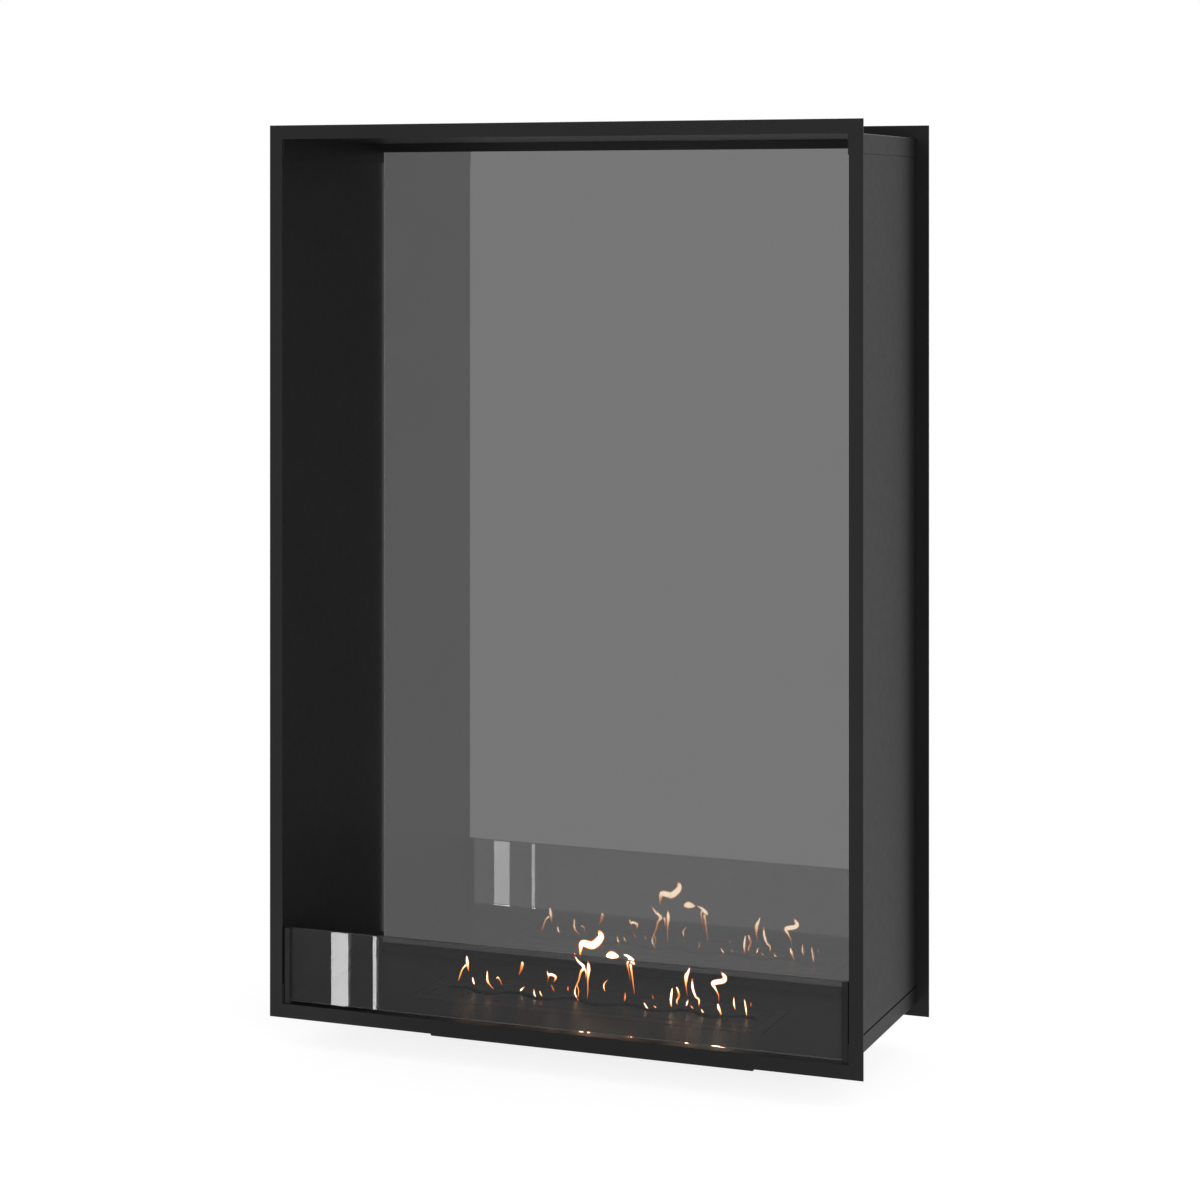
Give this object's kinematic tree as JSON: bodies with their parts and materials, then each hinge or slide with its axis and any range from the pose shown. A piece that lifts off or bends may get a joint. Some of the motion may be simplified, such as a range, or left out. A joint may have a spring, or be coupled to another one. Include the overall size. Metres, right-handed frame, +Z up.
{
  "type": "double-sided built-in fireplace",
  "caption": "Tall black built-in firebox with flanges front and rear, a smoked rear pane, a low front pane and a slotted ethanol burner with a sliding damper in its floor.",
  "frame": {"origin": "centre of the plan, at the underside of the safety tray, the lowest point", "axes": "+X to the right seen from the front, +Y from the front flange to the rear flange, +Z up"},
  "size_m": [0.782, 0.3, 1.169],
  "materials": {
    "black_powder_coat": "fine satin powder coat",
    "black_burner_plate": "satin heat-proof black",
    "smoked_glass": "polished, smoked",
    "tinted_glass": "polished, lightly tinted",
    "bare_steel": "brushed",
    "ceramic_wool": "soft fibre",
    "black_rubber": "matt"
  },
  "bodies": {
    "firebox": {"front_flange": "black_powder_coat", "rear_flange": "black_powder_coat", "base_tray": "black_powder_coat", "top_cap": "black_powder_coat", "left_wall": "black_powder_coat", "right_wall": "black_powder_coat", "rear_glass": "smoked_glass", "rear_glass_bottom_channel": "black_powder_coat", "rear_glass_top_channel": "black_powder_coat", "rear_glass_setting_blocks": "black_rubber", "left_glass_holder": "black_powder_coat", "right_glass_holder": "black_powder_coat", "front_glass_pads": "black_rubber", "burner_support_frame": "black_powder_coat", "support_frame_studs": "bare_steel", "support_frame_nuts": "bare_steel", "safety_tray": "black_powder_coat", "burner_trim_plate": "black_burner_plate"},
    "low_pane": {"front_glass": "tinted_glass"},
    "burner": {"burner_top": "black_burner_plate", "fuel_tank": "bare_steel", "wool_pad": "ceramic_wool", "wool_grid": "bare_steel", "damper_runners": "bare_steel"},
    "damper": {"damper_plate": "black_burner_plate", "damper_pins": "black_burner_plate"}
  },
  "joints": [
    {"name": "front_glass_lift", "type": "slide", "parent": "firebox", "child": "low_pane", "axis": [0, 0, 1], "range_m": [0, 0.1]},
    {"name": "burner_lift", "type": "slide", "parent": "firebox", "child": "burner", "axis": [0, 0, 1], "range_m": [0, 0.08]},
    {"name": "damper_slide", "type": "slide", "parent": "burner", "child": "damper", "axis": [0, 1, 0], "range_m": [0, 0.0165]}
  ]
}
